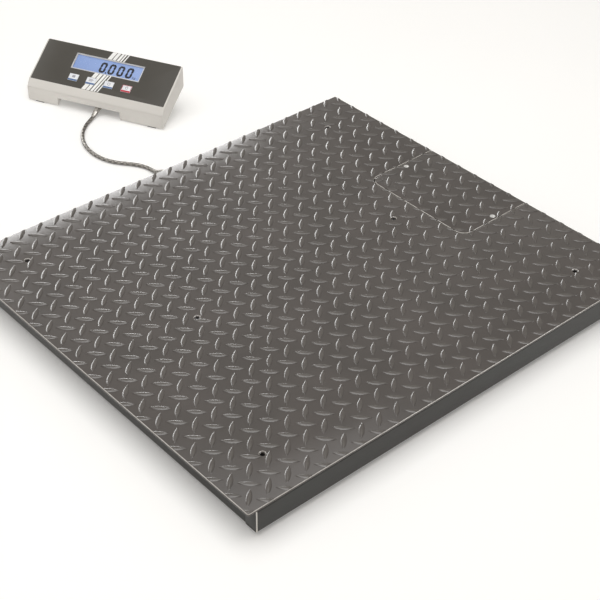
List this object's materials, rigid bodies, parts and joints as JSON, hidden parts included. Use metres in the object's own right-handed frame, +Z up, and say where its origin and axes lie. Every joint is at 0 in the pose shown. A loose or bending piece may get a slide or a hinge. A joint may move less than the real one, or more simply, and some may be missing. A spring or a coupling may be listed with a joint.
{
  "type": "pallet scale",
  "caption": "Low steel tread-plate weighing platform on load cells and levelling feet, tied by a metal-sheathed cable to a tilted desktop display unit.",
  "frame": {"origin": "centre of the platform on the floor", "axes": "+X along the platform's long side, towards the hatch; +Y towards the display unit; +Z up"},
  "size_m": [1, 1.4957, 0.1107],
  "materials": {
    "deck_steel": "satin powder coat",
    "frame_steel": "satin powder coat",
    "zinc_steel": "zinc plated",
    "stainless_steel": "plain",
    "load_cell_alloy": "nickel plated",
    "nickel_brass": "nickel plated",
    "metal_sheath": "braided steel wire",
    "box_plastic": "moulded",
    "board_green": "solder mask",
    "black_plastic": "moulded",
    "black_jacket": "matt jacket",
    "case_white": "fine moulded grain",
    "case_grey": "fine moulded grain",
    "film_grey": "printed polyester film",
    "window_clear": "clear polyester",
    "lcd_blue": "backlit liquid crystal",
    "backlight_white": "diffuser",
    "key_white": "printed polyester film",
    "key_red": "printed polyester film",
    "battery_sleeve": "shrink sleeve",
    "bracket_steel": "powder coat",
    "rubber_black": "moulded"
  },
  "bodies": {
    "platform": {"deck_plate": "deck_steel", "side_channel_front": "frame_steel", "side_channel_rear": "frame_steel", "end_channel_left": "frame_steel", "end_channel_right": "frame_steel", "long_ribs": "frame_steel", "cross_ribs": "frame_steel", "hatch_ledge": "frame_steel", "box_tray": "frame_steel", "eye_nuts": "zinc_steel", "load_cell_blocks": "zinc_steel", "load_cells": "load_cell_alloy", "load_cell_bolts": "zinc_steel", "jam_nuts": "zinc_steel", "junction_box": "box_plastic", "junction_lid": "box_plastic", "junction_lid_screws": "stainless_steel", "junction_board": "board_green", "junction_glands": "black_plastic", "load_cell_leads": "black_jacket", "inner_signal_lead": "black_jacket", "skirt_gland": "nickel_brass", "skirt_gland_nut": "nickel_brass", "signal_cable": "metal_sheath", "cable_ferrule": "nickel_brass", "display_gland": "nickel_brass", "upper_shell": "case_white", "lower_shell": "case_grey", "front_film": "film_grey", "window_pane": "window_clear", "lcd_glass": "lcd_blue", "lcd_backlight": "backlight_white", "main_board": "board_green", "key_switches": "black_plastic", "batteries": "battery_sleeve", "battery_contacts": "zinc_steel", "case_screws": "stainless_steel", "tilt_bracket": "bracket_steel", "bracket_screws": "stainless_steel", "display_feet": "rubber_black"},
    "hatch": {"hatch_cover": "deck_steel", "hatch_screws": "stainless_steel"},
    "foot_front_left": {"foot_pad_front_left": "zinc_steel", "foot_sole_front_left": "rubber_black"},
    "stem_front_left": {"foot_stem_front_left": "zinc_steel"},
    "foot_front_right": {"foot_pad_front_right": "zinc_steel", "foot_sole_front_right": "rubber_black"},
    "stem_front_right": {"foot_stem_front_right": "zinc_steel"},
    "foot_rear_left": {"foot_pad_rear_left": "zinc_steel", "foot_sole_rear_left": "rubber_black"},
    "stem_rear_left": {"foot_stem_rear_left": "zinc_steel"},
    "foot_rear_right": {"foot_pad_rear_right": "zinc_steel", "foot_sole_rear_right": "rubber_black"},
    "stem_rear_right": {"foot_stem_rear_right": "zinc_steel"},
    "key_1": {"key_1": "key_white"},
    "key_2": {"key_2": "key_white"},
    "key_3": {"key_3": "key_white"},
    "key_power": {"key_power": "key_red"},
    "battery_door": {"battery_door": "case_grey"}
  },
  "joints": [
    {"name": "hatch_lift", "type": "slide", "parent": "platform", "child": "hatch", "axis": [0, 0, 1], "range_m": [0, 0.08]},
    {"name": "foot_front_left_lift", "type": "slide", "parent": "platform", "child": "foot_front_left", "axis": [0, 0, 1], "range_m": [-0.004, 0.004]},
    {"name": "foot_front_left_turn", "type": "hinge", "parent": "foot_front_left", "child": "stem_front_left", "pos_m": [-0.393, -0.357, 0.02], "axis": [0, 0, 1], "range_deg": [-823, 823]},
    {"name": "foot_front_right_lift", "type": "slide", "parent": "platform", "child": "foot_front_right", "axis": [0, 0, 1], "range_m": [-0.004, 0.004]},
    {"name": "foot_front_right_turn", "type": "hinge", "parent": "foot_front_right", "child": "stem_front_right", "pos_m": [0.393, -0.357, 0.02], "axis": [0, 0, 1], "range_deg": [-823, 823]},
    {"name": "foot_rear_left_lift", "type": "slide", "parent": "platform", "child": "foot_rear_left", "axis": [0, 0, 1], "range_m": [-0.004, 0.004]},
    {"name": "foot_rear_left_turn", "type": "hinge", "parent": "foot_rear_left", "child": "stem_rear_left", "pos_m": [-0.393, 0.357, 0.02], "axis": [0, 0, 1], "range_deg": [-823, 823]},
    {"name": "foot_rear_right_lift", "type": "slide", "parent": "platform", "child": "foot_rear_right", "axis": [0, 0, 1], "range_m": [-0.004, 0.004]},
    {"name": "foot_rear_right_turn", "type": "hinge", "parent": "foot_rear_right", "child": "stem_rear_right", "pos_m": [0.393, 0.357, 0.02], "axis": [0, 0, 1], "range_deg": [-823, 823]},
    {"name": "key_1_press", "type": "slide", "parent": "platform", "child": "key_1", "axis": [0.4494, 0.2192, -0.866], "range_m": [0, 0.0004], "stiffness_N_per_m": 2500, "springref_m": -0.0003},
    {"name": "key_2_press", "type": "slide", "parent": "platform", "child": "key_2", "axis": [0.4494, 0.2192, -0.866], "range_m": [0, 0.0004], "stiffness_N_per_m": 2500, "springref_m": -0.0003},
    {"name": "key_3_press", "type": "slide", "parent": "platform", "child": "key_3", "axis": [0.4494, 0.2192, -0.866], "range_m": [0, 0.0004], "stiffness_N_per_m": 2500, "springref_m": -0.0003},
    {"name": "key_power_press", "type": "slide", "parent": "platform", "child": "key_power", "axis": [0.4494, 0.2192, -0.866], "range_m": [0, 0.0004], "stiffness_N_per_m": 2500, "springref_m": -0.0003},
    {"name": "battery_door_off", "type": "slide", "parent": "platform", "child": "battery_door", "axis": [0.4106, 0.2003, -0.8896], "range_m": [0, 0.015]}
  ],
  "couplings": [
    {"joint": "foot_front_left_turn", "follows": "foot_front_left_lift", "rad_per_m": 3590.4},
    {"joint": "foot_front_right_turn", "follows": "foot_front_right_lift", "rad_per_m": 3590.4},
    {"joint": "foot_rear_left_turn", "follows": "foot_rear_left_lift", "rad_per_m": 3590.4},
    {"joint": "foot_rear_right_turn", "follows": "foot_rear_right_lift", "rad_per_m": 3590.4}
  ]
}
